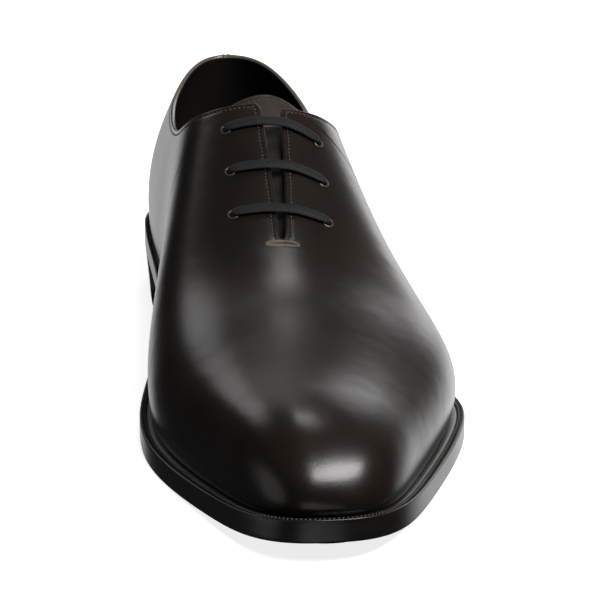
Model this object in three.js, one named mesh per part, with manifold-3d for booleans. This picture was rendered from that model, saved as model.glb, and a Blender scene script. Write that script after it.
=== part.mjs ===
// Whole cut oxford, left shoe, in millimetres: +Z up, toe towards -Y, outer side of the foot towards +X.
// The origin is the middle of the heel's tread, on the floor.
// The upper, tongue and insole all come from one form, the last, and the welt, sole and heel from its
// feather line, which is the edge where the last meets the sole.

import * as THREE from "three";
import { mergeVertices } from "three/addons/utils/BufferGeometryUtils.js";
import Module from "manifold-3d";

const wasm = await Module();
wasm.setup();

// Driving sizes of the last
const lastLength = 295.5;
const ballWidth = 97;
const instepHeight = 80;
const toeSpring = 6.8;
const toePlan = { length: 72.4, power: 2.6 };
const toeCrest = { length: 36, power: 2.2 };
const heelPlan = { length: 34, power: 2.3 };
const heelCurve = { out: 5, lean: 3.5, fade: 90 };
const ankleTaper = 0.8;
const toeSwell = { out: 1.6, height: 6 };

// Driving sizes of the upper and what is in it
const upperWall = 2;
const backHeight = 57;
const lateralDrop = 5.5;
const throat = { end: 0.616, halfTop: 3, halfEnd: 0.9, round: 0.006, corner: 0.05 };
const facingCorner = { start: 0.45, radius: 8 };
const tongueWall = 2;
const tongue = { top: 0.399, bottom: 0.668, halfTop: 23, halfBottom: 17, lacePocket: 1.8 };
const tongueArc = { fall: 0.03, power: 2.6 };
const tongueFlat = { depth: 4.3, from: 0.5, to: 0.42 };
const insoleRise = 2;
const insoleInset = 0.5;

// Driving sizes of the bottom
const soleThickness = 4.6;
const soleRound = 0.8;
const weltThickness = 2.3;
const weltReach = { heel: 1.8, waist: 2.4, fore: 4 };
const heelLift = 19.2;
const heelLength = 60;
const heelTaper = 1.6;
const topPieceThickness = 6;
const tread = { start: 0.63, end: 0.75 };
const seatPastHeel = 6;
const weltBevel = 0.4;

// Driving sizes of the lace
const laceRows = { first: 0.4685, pitch: 16.2, count: 3, halfSpacing: 15.4, skew: 3 };
const laceWidth = 4;
const laceThickness = 1.4;
const laceHole = 1.75;

const gap = 0.3;
const MEDIAL = -1;
const LATERAL = 1;
const SIDES = [MEDIAL, LATERAL];

// Sections of the last from heel to toe. "along" is a share of the length and crest a share of the
// instep height. Widths, ridge, swing, bulge and pinch are shares of the ball width, and fullness is
// a plain ratio. Swing moves the whole section aside, ridge only its crest, and pinch the ankle.
const SECTION_COLUMNS = [
  "along", "medial", "lateral", "crest", "ridge", "swing",
  "medialFull", "lateralFull", "medialBulge", "lateralBulge", "medialPinch", "lateralPinch",
];
const SECTIONS = [
  [0.00, 0.288, 0.310, 1.225, 0.000, 0.000, 0.09, 0.09, 0.028, 0.019, 0.130, 0.109],
  [0.12, 0.316, 0.318, 1.225, 0.000, 0.000, 0.07, 0.08, 0.030, 0.019, 0.138, 0.104],
  [0.28, 0.316, 0.320, 1.163, 0.008, 0.000, 0.10, 0.06, 0.026, 0.026, 0.090, 0.045],
  [0.42, 0.314, 0.374, 1.000, 0.033, 0.000, 0.16, -0.02, 0.022, 0.031, 0.011, 0.000],
  [0.55, 0.378, 0.486, 0.797, 0.031, 0.001, 0.14, -0.08, 0.031, 0.046, 0.000, 0.000],
  [0.65, 0.412, 0.550, 0.605, 0.010, 0.003, 0.06, -0.10, 0.040, 0.055, 0.000, 0.000],
  [0.72, 0.403, 0.504, 0.518, -0.010, 0.006, 0.05, -0.03, 0.040, 0.051, 0.000, 0.000],
  [0.80, 0.348, 0.407, 0.434, -0.033, 0.013, 0.06, 0.03, 0.036, 0.040, 0.000, 0.000],
  [0.88, 0.290, 0.325, 0.369, -0.060, 0.020, 0.08, 0.07, 0.030, 0.030, 0.000, 0.000],
  [1.00, 0.263, 0.256, 0.314, -0.088, 0.028, 0.11, 0.09, 0.020, 0.020, 0.000, 0.000],
];

// Height of the collar and facing tops over the feather line, as shares of the back height
const TOPLINE_COLUMNS = ["along", "height"];
const TOPLINE = [
  [0.00, 1.00],
  [0.06, 0.965],
  [0.14, 0.88],
  [0.22, 0.835],
  [0.30, 0.88],
  [0.36, 1.01],
  [0.41, 1.215],
  [0.46, 1.49],
  [0.50, 1.80],
];

// How far welt and sole stand out from the upper, along the sole, in millimetres
const REACH_COLUMNS = ["along", "reach"];
const REACH = [
  [0.00, weltReach.heel],
  [0.22, weltReach.heel],
  [0.42, weltReach.waist],
  [0.60, weltReach.fore],
  [0.80, weltReach.fore],
  [1.00, weltReach.fore],
];

function clamp(value, low, high) {
  return Math.min(high, Math.max(low, value));
}

function smoothStep(value) {
  const t = clamp(value, 0, 1);
  return t * t * t * (t * (6 * t - 15) + 10);
}

function mix(a, b, t) {
  return a + (b - a) * t;
}

// Natural cubic spline through points, held level past both ends
function spline(xs, ys) {
  const last = xs.length - 1;
  const second = new Array(last + 1).fill(0);
  const carry = new Array(last + 1).fill(0);
  for (let i = 1; i < last; i++) {
    const before = xs[i] - xs[i - 1];
    const after = xs[i + 1] - xs[i];
    const pivot = 2 * (before + after) - before * carry[i - 1];
    const slopeChange = (ys[i + 1] - ys[i]) / after - (ys[i] - ys[i - 1]) / before;
    carry[i] = after / pivot;
    second[i] = (6 * slopeChange - before * second[i - 1]) / pivot;
  }
  for (let i = last - 1; i > 0; i--) second[i] -= carry[i] * second[i + 1];
  return (value) => {
    const x = clamp(value, xs[0], xs[last]);
    let k = 0;
    while (k < last - 1 && x > xs[k + 1]) k++;
    const h = xs[k + 1] - xs[k];
    const a = (xs[k + 1] - x) / h;
    const b = 1 - a;
    const bend = (a ** 3 - a) * second[k] + (b ** 3 - b) * second[k + 1];
    return a * ys[k] + b * ys[k + 1] + (bend * h * h) / 6;
  };
}

// Turns a table into one spline for each named column, over its first column
function splines(columns, rows) {
  const along = rows.map((row) => row[0]);
  const named = {};
  columns.slice(1).forEach((column, k) => {
    named[column] = spline(along, rows.map((row) => row[k + 1]));
  });
  return named;
}

const section = splines(SECTION_COLUMNS, SECTIONS);
const topline = splines(TOPLINE_COLUMNS, TOPLINE);
const welting = splines(REACH_COLUMNS, REACH);

// Rounded closing of a form towards its end, 0 at the end and 1 from "length" on
function closing(distance, { length, power }, grow) {
  const q = clamp(1 - distance / (length + grow), 0, 1);
  return (1 - q ** power) ** (1 / power);
}

function planClosing(fromHeel, fromToe, grow, heelLonger = 1) {
  const heel = { length: heelPlan.length * heelLonger, power: heelPlan.power };
  return closing(fromToe, toePlan, grow) * closing(fromHeel, heel, grow);
}

// Underside of the outsole over the floor: level under the heel seat, down through the waist, flat at
// the tread and up with the toe spring
const waistStart = heelLength + seatPastHeel;
const treadStart = tread.start * lastLength;
const treadEnd = tread.end * lastLength;
const springPower = 2.2;

function soleUnderside(along) {
  const lift = heelLift * (1 - smoothStep((along - waistStart) / (treadStart - waistStart)));
  const rise = Math.max(0, (along - treadEnd) / (lastLength - treadEnd));
  return lift + toeSpring * rise ** springPower;
}

function soleTop(along) {
  return soleUnderside(along) + soleThickness;
}

function weltTop(along) {
  return soleTop(along) + gap + weltThickness;
}

function feather(along) {
  return weltTop(along) + gap;
}

const heelMiddle = heelLength / 2 - upperWall - weltReach.heel;

function place(x, along, z) {
  return new THREE.Vector3(x, heelMiddle - along, z);
}

// Point of the last grown outwards by "grow": share runs from heel to toe, and turn from the feather
// line at 0 over the side to the crest at 1
const bulgePeak = 2.6;
const heelCurvePower = 0.8;

function lastPoint(share, side, turn, grow) {
  const length = lastLength + 2 * grow;
  const fromHeel = share * length;
  const fromToe = length - fromHeel;
  const name = side === MEDIAL ? "medial" : "lateral";
  const angle = (turn * Math.PI) / 2;
  const c = Math.cos(angle);
  const s = Math.sin(angle);
  const full = section[name + "Full"](share);
  const height = (instepHeight * section.crest(share) + grow) * closing(fromToe, toeCrest, grow);
  const up = height * s * (1 + full * c * c);
  const level = up / backHeight;
  const plan = planClosing(fromHeel, fromToe, grow, 1 + ankleTaper * level * level);
  const width = (ballWidth * section[name](share) + grow) * plan;
  const bulge = ballWidth * section[name + "Bulge"](share) * plan * bulgePeak * s * c * c;
  const middle = ballWidth * (section.ridge(share) * plan * (1 - c) + section.swing(share));
  const pinch = ballWidth * section[name + "Pinch"](share) * level * level * plan * c;
  const x = side * (width * c * (1 + full * s * s) + bulge - pinch) + middle;
  const fade = clamp(1 - fromHeel / heelCurve.fade, 0, 1) ** 2;
  const swell = Math.sin(Math.PI * Math.min(level, 1) ** heelCurvePower);
  const back = fade * (heelCurve.out * swell - heelCurve.lean * level * level);
  const risen = up / toeSwell.height;
  const front = toeSwell.out * risen * Math.exp(1 - risen) * clamp(1 - fromToe / toeCrest.length, 0, 1);
  return place(x, fromHeel - grow - back + front, feather(fromHeel - grow) + up);
}

// Smallest turn from 0 to 1 at which a rising measure reaches zero
const halvings = 40;

function turnWhere(measure) {
  let low = 0;
  let high = 1;
  for (let i = 0; i < halvings; i++) {
    const middle = (low + high) / 2;
    if (measure(middle) < 0) low = middle;
    else high = middle;
  }
  return (low + high) / 2;
}

// Turn at a distance from the crest line, measured across the shoe
function turnAcross(share, side, distance, grow) {
  const crest = lastPoint(share, side, 1, grow).x;
  return turnWhere((turn) => distance - side * (lastPoint(share, side, turn, grow).x - crest));
}

const toplineEnd = TOPLINE[TOPLINE.length - 1][0];

function toplineHeight(share, side) {
  const skew = ((side * laceRows.skew) / 2 / lastLength) * clamp(share / laceRows.first, 0, 1);
  const drop = side === LATERAL ? lateralDrop : 0;
  const wave = Math.sin(Math.PI * clamp(share / laceRows.first, 0, 1));
  return backHeight * topline.height(share - skew) - drop * wave * wave;
}

// Half width of the slit between the two facings, which flares in an arc at their rounded tops
function slitHalf(share) {
  const t = (share - laceRows.first) / (throat.end - laceRows.first);
  const closed = clamp((throat.end - share) / throat.round, 0, 1);
  const back = clamp(((facingCorner.start - share) * lastLength) / facingCorner.radius, 0, 1);
  const flare = facingCorner.radius * (1 - Math.sqrt(1 - back * back));
  return mix(throat.halfTop, throat.halfEnd, clamp(t, 0, 1)) * Math.sqrt(closed * (2 - closed)) + flare;
}

// Turn of the upper's free edge: the collar, the rounded facing corner and the slit
const facingStart = 0.34;
const pastCrest = 2;

function edgeTurn(share, side) {
  if (share >= throat.end) return 1;
  const slit = share > facingStart ? turnAcross(share, side, slitHalf(share), upperWall) : 1;
  if (share > toplineEnd) return slit;
  const height = toplineHeight(share, side);
  const crest = lastPoint(share, side, 1, upperWall).z;
  const foot = lastPoint(share, side, 0, upperWall).z;
  const over = height / (crest - foot) - 1;
  const rim = over > 0
    ? 1 + pastCrest * over
    : turnWhere((turn) => lastPoint(share, side, turn, upperWall).z - foot - height);
  if (share <= facingStart) return rim;
  const apart = Math.abs(rim - slit) / throat.corner;
  return Math.min(rim, slit) - throat.corner * Math.log(1 + Math.exp(-apart));
}

// Stations along the shoe, closer towards heel and toe, where the outline turns fastest. A regular one
// that lies too near an extra one is left out.
const nearShare = 0.3;

function stations(count, extra = []) {
  const tooNear = nearShare / count;
  const all = [...extra];
  for (let i = 0; i <= count; i++) {
    const share = (1 - Math.cos((Math.PI * i) / count)) / 2;
    if (!extra.some((other) => Math.abs(other - share) < tooNear)) all.push(share);
  }
  return all.sort((a, b) => a - b);
}

function range(count) {
  return Array.from({ length: count + 1 }, (_, i) => i / count);
}

// A solid is gathered from patches, each a grid of points with its outer face towards the viewer when
// rows run up and columns run right
const near = 1e-4;
const weld = 1e-3;

class Patches {
  positions = [];

  triangle(a, b, c) {
    if (a.distanceTo(b) < near || b.distanceTo(c) < near || c.distanceTo(a) < near) return;
    for (const p of [a, b, c]) this.positions.push(p.x, p.y, p.z);
  }

  grid(rows, flip = false) {
    for (let i = 0; i + 1 < rows.length; i++) {
      for (let j = 0; j + 1 < rows[i].length; j++) {
        const quad = [rows[i][j], rows[i][j + 1], rows[i + 1][j + 1], rows[i + 1][j]];
        if (flip) quad.reverse();
        this.triangle(quad[0], quad[1], quad[2]);
        this.triangle(quad[0], quad[2], quad[3]);
      }
    }
    return this;
  }

  geometry() {
    const geometry = new THREE.BufferGeometry();
    geometry.setAttribute("position", new THREE.Float32BufferAttribute(this.positions, 3));
    return mergeVertices(geometry, weld);
  }
}

function toManifold(geometry) {
  const bare = geometry.clone();
  bare.deleteAttribute("normal");
  bare.deleteAttribute("uv");
  const merged = mergeVertices(bare, weld);
  const vertProperties = new Float32Array(merged.attributes.position.array);
  const triVerts = new Uint32Array(merged.index.array);
  return new wasm.Manifold(new wasm.Mesh({ numProp: 3, vertProperties, triVerts }));
}

function fromManifold(solid) {
  const mesh = solid.getMesh();
  const geometry = new THREE.BufferGeometry();
  geometry.setAttribute("position", new THREE.BufferAttribute(mesh.vertProperties, 3));
  geometry.setIndex(new THREE.BufferAttribute(mesh.triVerts, 1));
  return geometry;
}

// Upper

const stationCount = 42;
const skinRows = 13;
const cornerSteps = 12;
const slitEndSteps = [0, 0.3, 0.7, 1];
const holeSides = 12;
const cornerStations = range(cornerSteps).map((t) => mix(facingStart, toplineEnd, t));
const slitStations = slitEndSteps.map((t) => throat.end - throat.round * (1 - t));
const upperStations = stations(stationCount, [...cornerStations, ...slitStations]);

function skin(side, grow, rows) {
  return range(rows).map((t) => upperStations.map((u) => lastPoint(u, side, t * edgeTurn(u, side), grow)));
}

function upperShell() {
  const solid = new Patches();
  const open = upperStations.filter((share) => share <= throat.end).length;
  for (const side of SIDES) {
    const lateral = side === LATERAL;
    const outer = skin(side, upperWall, skinRows);
    const inner = skin(side, 0, skinRows);
    solid.grid(outer, lateral);
    solid.grid(inner, !lateral);
    solid.grid([inner[0], outer[0]], lateral);
    solid.grid([outer[skinRows].slice(0, open), inner[skinRows].slice(0, open)], lateral);
  }
  return solid.geometry();
}

// Point on the upper's outside at a distance from the crest line, with the directions forward along the
// shoe, inward to the crest and outward from the surface
const step = 0.01;

function surfaceFrame(share, side, distance) {
  const turn = turnAcross(share, side, distance, upperWall);
  const at = (du, dt) => lastPoint(share + du, side, turn + dt, upperWall);
  const forward = at(step, 0).sub(at(-step, 0)).normalize();
  const inward = at(0, 0).sub(at(0, -step)).normalize();
  const outward = new THREE.Vector3().crossVectors(forward, inward).multiplyScalar(-side).normalize();
  return { centre: at(0, 0), forward, inward, outward };
}

// The outer side's holes lie a little nearer the toe than the inner side's
function laceShare(row, side) {
  return laceRows.first + (row * laceRows.pitch + (side * laceRows.skew) / 2) / lastLength;
}

function laceHoleCutter(row, side) {
  const { centre, outward } = surfaceFrame(laceShare(row, side), side, laceRows.halfSpacing);
  const depth = 4 * upperWall;
  const cutter = new THREE.CylinderGeometry(laceHole, laceHole, depth, holeSides);
  cutter.applyQuaternion(new THREE.Quaternion().setFromUnitVectors(new THREE.Vector3(0, 1, 0), outward));
  cutter.translate(centre.x, centre.y, centre.z);
  return toManifold(cutter);
}

function upperGeometry() {
  let solid = toManifold(upperShell());
  for (let row = 0; row < laceRows.count; row++) {
    for (const side of SIDES) solid = solid.subtract(laceHoleCutter(row, side));
  }
  return fromManifold(solid);
}

// Tongue: it lies close under the vamp at its lower end, and lower under the facings, where the lace
// passes over it. Its top edge is an arc.
const tongueColumns = 16;
const tongueRows = 14;

function tongueShare(v, t) {
  const arc = (1 - Math.abs(v) ** tongueArc.power) ** (1 / tongueArc.power);
  return mix(tongue.top + tongueArc.fall * (1 - arc), tongue.bottom, t);
}

function tongueGeometry() {
  const solid = new Patches();
  const columns = range(tongueColumns);
  const across = range(tongueRows).map((t) => Math.sin(Math.PI * (t - 0.5)));
  const skinAt = (depth) =>
    across.map((v) =>
      columns.map((t) => {
        const side = v < 0 ? MEDIAL : LATERAL;
        const share = tongueShare(v, t);
        const under = smoothStep((tongue.bottom - share) / (tongue.bottom - throat.end));
        const free = smoothStep((tongueFlat.from - share) / (tongueFlat.from - tongueFlat.to));
        const flat = tongueFlat.depth * free * (1 - v * v);
        const grow = -mix(gap, tongue.lacePocket, under) - flat - depth;
        const aside = Math.abs(v) * mix(tongue.halfTop, tongue.halfBottom, t);
        return lastPoint(share, side, turnAcross(share, side, aside, grow), grow);
      }),
    );
  const outer = skinAt(0);
  const inner = skinAt(tongueWall);
  const end = across.length - 1;
  const foot = columns.length - 1;
  solid.grid(outer);
  solid.grid(inner, true);
  solid.grid([inner[0], outer[0]]);
  solid.grid([outer[end], inner[end]]);
  solid.grid([outer.map((row) => row[0]), inner.map((row) => row[0])]);
  solid.grid([inner.map((row) => row[foot]), outer.map((row) => row[foot])]);
  return solid.geometry();
}

// Flat pieces: a level is an outline, a function of share and side, with its height over the floor

function lastOutline(grow) {
  return (share, side) => {
    const p = lastPoint(share, side, 0, grow);
    return { x: p.x, along: heelMiddle - p.y };
  };
}

function soleOutline(inset) {
  const start = -upperWall - weltReach.heel + inset;
  const end = lastLength + upperWall + weltReach.fore - inset;
  return (share, side) => {
    const grow = upperWall + welting.reach(share) - inset;
    const along = mix(start, end, share);
    const name = side === MEDIAL ? "medial" : "lateral";
    const half = (ballWidth * section[name](share) + grow) * planClosing(along - start, end - along, grow);
    return { x: side * half + ballWidth * section.swing(share), along };
  };
}

function soleShare(along) {
  const start = -upperWall - weltReach.heel;
  const end = lastLength + upperWall + weltReach.fore;
  return (along - start) / (end - start);
}

function loop(shares, side, { outline, height }) {
  return shares.map((share) => {
    const { x, along } = outline(share, side);
    return place(x, along, height(along));
  });
}

function slab(shares, levels) {
  const solid = new Patches();
  const medial = levels.map((level) => loop(shares, MEDIAL, level));
  const lateral = levels.map((level) => loop(shares, LATERAL, level));
  const top = levels.length - 1;
  const end = shares.length - 1;
  solid.grid(medial);
  solid.grid(lateral, true);
  solid.grid([lateral[0], medial[0]]);
  solid.grid([medial[top], lateral[top]]);
  solid.grid(levels.map((_, k) => [medial[k][end], lateral[k][end]]));
  return solid.geometry();
}

function ring(shares, outerLevels, innerLevels) {
  const solid = new Patches();
  for (const side of SIDES) {
    const lateral = side === LATERAL;
    const outer = outerLevels.map((level) => loop(shares, side, level));
    const inner = innerLevels.map((level) => loop(shares, side, level));
    solid.grid(outer, lateral);
    solid.grid(inner, !lateral);
    solid.grid([outer[outer.length - 1], inner[inner.length - 1]], lateral);
    solid.grid([inner[0], outer[0]], lateral);
  }
  return solid.geometry();
}

const soleStations = stations(stationCount);

function insoleGeometry() {
  const outline = lastOutline(-insoleInset);
  return slab(soleStations, [
    { outline, height: (along) => soleTop(along) + gap },
    { outline, height: (along) => feather(along) + insoleRise },
  ]);
}

function weltGeometry() {
  const below = (along) => soleTop(along) + gap;
  return ring(
    soleStations,
    [
      { outline: soleOutline(weltBevel), height: below },
      { outline: soleOutline(0), height: (along) => below(along) + weltBevel },
      { outline: soleOutline(0), height: (along) => weltTop(along) - weltBevel },
      { outline: soleOutline(weltBevel), height: weltTop },
    ],
    [
      { outline: lastOutline(0), height: below },
      { outline: lastOutline(0), height: weltTop },
    ],
  );
}

function outsoleGeometry() {
  return slab(soleStations, [
    { outline: soleOutline(soleRound), height: soleUnderside },
    { outline: soleOutline(0), height: (along) => soleUnderside(along) + soleRound },
    { outline: soleOutline(0), height: soleTop },
  ]);
}

// Heel: the block and top piece follow the sole's outline back from a straight breast, and narrow a
// little towards the floor
const heelColumns = 20;

function heelGeometry(bottom, top) {
  const breast = soleShare(heelLength - upperWall - weltReach.heel);
  const shares = range(heelColumns).map((t) => breast * (1 - Math.cos((Math.PI * t) / 2)));
  const level = (z) => ({
    outline: (share, side) => soleOutline(heelTaper * (1 - z / heelLift))(share, side),
    height: () => z,
  });
  return slab(shares, [level(bottom), level(top)]);
}

// Lace bars: flat where they cross the facings, gathered where they turn down into the holes. "ride" is
// the height of the lace's middle over the upper.

const ride = gap + laceThickness / 2;
const holeEntry = { deep: -0.7 * upperWall, mouth: -0.1 * upperWall, shoulder: 0.75 * ride };
const gathered = 0.22;
const levelShare = 0.6;
const barSteps = 22;
const barSides = 10;

function lacePath(row) {
  const over = laceRows.halfSpacing - laceHole - laceThickness / 2;
  const off = ({ centre, inward, outward }, up, aside) =>
    centre.clone().addScaledVector(outward, up).addScaledVector(inward, aside);
  const between = (side, distance) => {
    const turned = (side * distance) / laceRows.halfSpacing;
    return surfaceFrame(laceShare(row, turned), side, distance);
  };
  const half = (side) => {
    const hole = between(side, laceRows.halfSpacing);
    return [
      off(hole, holeEntry.deep, 0),
      off(hole, holeEntry.mouth, 0),
      off(hole, holeEntry.shoulder, laceThickness / 2),
      off(between(side, over), ride, 0),
      off(between(side, levelShare * over), ride, 0),
    ];
  };
  const crest = between(LATERAL, throat.halfEnd);
  const middle = off(crest, ride, throat.halfEnd);
  const path = new THREE.CatmullRomCurve3([...half(MEDIAL), middle, ...half(LATERAL).reverse()]);
  return { path, forward: crest.forward };
}

function laceBarGeometry(row) {
  const { path, forward } = lacePath(row);
  const rings = range(barSteps).map((t) => {
    const centre = path.getPointAt(t);
    const tangent = path.getTangentAt(t);
    const normal = new THREE.Vector3().crossVectors(tangent, forward).normalize();
    const wide = new THREE.Vector3().crossVectors(normal, tangent).normalize();
    const spread = smoothStep(Math.min(t, 1 - t) / gathered);
    const halfWidth = mix(laceHole - 2 * gap, laceWidth / 2, spread);
    return range(barSides).map((turn) => {
      const angle = 2 * Math.PI * turn;
      return centre
        .clone()
        .addScaledVector(wide, halfWidth * Math.cos(angle))
        .addScaledVector(normal, (laceThickness / 2) * Math.sin(angle));
    });
  });
  const solid = new Patches();
  solid.grid(rings);
  const cap = (t, edge, flip) => {
    const centre = path.getPointAt(t);
    for (let i = 0; i < barSides; i++) {
      if (flip) solid.triangle(centre, edge[i], edge[i + 1]);
      else solid.triangle(centre, edge[i + 1], edge[i]);
    }
  };
  cap(0, rings[0], false);
  cap(1, rings[barSteps], true);
  return solid.geometry();
}

// Materials and assembly

const calf = new THREE.MeshStandardMaterial({ color: 0x231c18, roughness: 0.32, metalness: 0 });
const lining = new THREE.MeshStandardMaterial({ color: 0x1a1716, roughness: 0.7, metalness: 0 });
const soleLeather = new THREE.MeshStandardMaterial({ color: 0x14110f, roughness: 0.45, metalness: 0 });
const rubber = new THREE.MeshStandardMaterial({ color: 0x161616, roughness: 0.8, metalness: 0 });
const cotton = new THREE.MeshStandardMaterial({ color: 0x101010, roughness: 0.85, metalness: 0 });

const shoe = new THREE.Group();

function add(name, geometry, material) {
  geometry.computeVertexNormals();
  const mesh = new THREE.Mesh(geometry, material.clone());
  mesh.name = name;
  shoe.add(mesh);
}

add("upper", upperGeometry(), calf);
add("tongue", tongueGeometry(), calf);
add("insole", insoleGeometry(), lining);
add("welt", weltGeometry(), soleLeather);
add("outsole", outsoleGeometry(), soleLeather);
add("heel_block", heelGeometry(topPieceThickness + gap, heelLift - gap), soleLeather);
add("heel_top_piece", heelGeometry(0, topPieceThickness), rubber);
for (let row = 0; row < laceRows.count; row++) {
  add(`lace_bar_${row + 1}`, laceBarGeometry(row), cotton);
}

export default shoe;
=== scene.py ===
# Whole cut oxford, left shoe: one piece of dark calf on a welted leather sole, laced with three bars.
# Metres, +Z up, toe towards -Y, outer side of the foot towards +X, heel's tread on the floor.

import math
from functools import lru_cache

import bmesh
import bpy
from mathutils import Matrix, Vector, noise
from mathutils.kdtree import KDTree


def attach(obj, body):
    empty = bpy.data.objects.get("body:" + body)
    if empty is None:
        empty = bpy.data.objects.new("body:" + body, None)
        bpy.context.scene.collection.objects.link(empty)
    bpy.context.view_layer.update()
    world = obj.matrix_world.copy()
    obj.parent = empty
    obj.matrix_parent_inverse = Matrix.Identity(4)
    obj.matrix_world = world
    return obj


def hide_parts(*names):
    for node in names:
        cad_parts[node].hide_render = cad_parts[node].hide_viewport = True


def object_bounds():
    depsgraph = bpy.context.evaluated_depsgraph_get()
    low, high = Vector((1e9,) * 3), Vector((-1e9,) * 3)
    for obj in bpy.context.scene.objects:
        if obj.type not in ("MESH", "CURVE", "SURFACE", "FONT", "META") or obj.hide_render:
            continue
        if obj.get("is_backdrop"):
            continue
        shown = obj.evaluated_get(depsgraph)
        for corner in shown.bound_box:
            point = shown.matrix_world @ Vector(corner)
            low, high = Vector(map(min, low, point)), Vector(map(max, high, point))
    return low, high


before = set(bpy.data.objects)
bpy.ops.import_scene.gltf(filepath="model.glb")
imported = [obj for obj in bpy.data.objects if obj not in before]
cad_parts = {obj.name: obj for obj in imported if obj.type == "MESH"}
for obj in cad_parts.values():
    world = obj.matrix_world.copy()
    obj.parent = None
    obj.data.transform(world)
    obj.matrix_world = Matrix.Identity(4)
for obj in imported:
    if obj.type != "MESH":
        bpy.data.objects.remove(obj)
cad_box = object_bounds()
MM = 0.001

# Camera
# A long lens looks down on the shoe from in front, a little from its inner side. It stands at the
# photograph's angle, and the shoe fills the frame as there.

look_at = Vector((15.4, -91.4, 20.1)) * MM
camera_azimuth = -6.8
camera_elevation = 18.2
camera_distance = 860 * MM
focal_length = 146


def direction(azimuth, elevation):
    """Direction from the shoe: azimuth 0 is the toe's side, and 90 the outer side."""
    a, e = math.radians(azimuth), math.radians(elevation)
    return Vector((math.sin(a) * math.cos(e), -math.cos(a) * math.cos(e), math.sin(e)))


def aimed(name, data, place, target):
    """Adds a camera or light at a place, turned to look at the target."""
    thing = bpy.data.objects.new(name, data)
    thing.location = place
    thing.rotation_euler = (place - target).to_track_quat("Z", "Y").to_euler()
    bpy.context.scene.collection.objects.link(thing)
    return thing


camera_data = bpy.data.cameras.new("camera")
camera_data.lens = focal_length
camera_place = look_at + camera_distance * direction(camera_azimuth, camera_elevation)
bpy.context.scene.camera = aimed("camera", camera_data, camera_place, look_at)

# Studio
# A white floor, a wide softbox high in front and a small one high behind. The room is dim, with pale
# patches of wall round the shoe, and these draw the light bands on its sides.

SOFTBOX_COLUMNS = ("azimuth", "elevation", "distance", "width", "height", "radiance")
SOFTBOXES = {
    "front_softbox": (38, 51, 1.4, 1.60, 0.46, 15.0),
    "top_softbox": (167, 63, 1.4, 0.40, 0.16, 8.5),
}
WALL_COLUMNS = ("azimuth", "elevation", "half_angle", "radiance")
WALL_PATCHES = (
    (158, 13, 15, 1.2),
    (153, 24, 8, 1.0),
    (156, -8, 19, 1.4),
    (142, -16, 12, 0.5),
    (-149, 31, 9, 1.9),
    (-175, 35, 13, 0.6),
    (-172, -14, 12, 1.0),
    (-10, -30, 20, 0.6),
    (-88, -8, 20, 0.5),
)
patch_rim, patch_core = 1.3, 0.7
surround_light = 0.03
floor_size = 3.0
floor_glow = 0.82

for name, row in SOFTBOXES.items():
    box = dict(zip(SOFTBOX_COLUMNS, row))
    light = bpy.data.lights.new(name, "AREA")
    light.shape = "ELLIPSE"
    light.size = box["width"]
    light.size_y = box["height"]
    light.energy = box["radiance"] * math.pi**2 / 4 * box["width"] * box["height"]
    place = look_at + box["distance"] * direction(box["azimuth"], box["elevation"])
    aimed(name, light, place, look_at)


def add_node(tree, kind, links=None, **settings):
    """Adds one node: settings are its properties, links give its sockets a value or another's output."""
    node = tree.nodes.new("ShaderNode" + kind)
    for key, value in settings.items():
        setattr(node, key, value)
    for socket, value in (links or {}).items():
        if isinstance(value, bpy.types.NodeSocket):
            tree.links.new(value, node.inputs[socket])
        else:
            node.inputs[socket].default_value = value
    return node


def linear(hex_colour):
    """Linear colour from an sRGB hex value."""
    channels = [int(hex_colour[i : i + 2], 16) / 255 for i in (0, 2, 4)]
    return (*[c / 12.92 if c <= 0.04045 else ((c + 0.055) / 1.055) ** 2.4 for c in channels], 1)


world = bpy.data.worlds.new("studio")
bpy.context.scene.world = world
world.use_nodes = True
sky = world.node_tree
way = add_node(sky, "TexCoord").outputs["Generated"]
glow = surround_light
for row in WALL_PATCHES:
    patch = dict(zip(WALL_COLUMNS, row))
    towards = direction(patch["azimuth"], patch["elevation"])
    near = add_node(sky, "VectorMath", {0: way, 1: towards}, operation="DOT_PRODUCT").outputs["Value"]
    rim = math.cos(math.radians(patch["half_angle"] * patch_rim))
    core = math.cos(math.radians(patch["half_angle"] * patch_core))
    links = {"Value": near, "From Min": rim, "From Max": core, "To Max": patch["radiance"]}
    lit = add_node(sky, "MapRange", links, interpolation_type="SMOOTHSTEP").outputs["Result"]
    glow = add_node(sky, "Math", {0: glow, 1: lit}, operation="ADD").outputs[0]
seen = add_node(sky, "LightPath").outputs["Is Camera Ray"]
white = sky.nodes["Background"]
white.inputs["Color"].default_value = (1, 1, 1, 1)
room = add_node(sky, "Background", {"Color": (1, 1, 1, 1), "Strength": glow})
both = add_node(sky, "MixShader", {0: seen, 1: room.outputs[0], 2: white.outputs[0]})
sky.links.new(both.outputs[0], sky.nodes["World Output"].inputs["Surface"])
bpy.context.scene.view_settings.view_transform = "Standard"

paint = bpy.data.materials.new("matt_floor_paint")
paint.use_nodes = True
floor_shader = paint.node_tree.nodes["Principled BSDF"]
floor_shader.inputs["Base Color"].default_value = linear("F2F2F2")
floor_shader.inputs["Roughness"].default_value = 0.9
floor_shader.inputs["Emission Color"].default_value = (1, 1, 1, 1)
floor_shader.inputs["Emission Strength"].default_value = floor_glow
bm = bmesh.new()
bmesh.ops.create_grid(bm, x_segments=1, y_segments=1, size=floor_size / 2)
floor_mesh = bpy.data.meshes.new("floor")
bm.to_mesh(floor_mesh)
bm.free()
floor_mesh.materials.append(paint)
floor = bpy.data.objects.new("floor", floor_mesh)
bpy.context.scene.collection.objects.link(floor)
floor.visible_glossy = False
floor.visible_diffuse = False
floor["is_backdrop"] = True

# Upper
# The whole cut: one piece of box calf, lasted, hollow, with its lining and its beaded edge. The last
# that it was pulled over gives its form, and the welt, sole and heel follow the same last.

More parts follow.
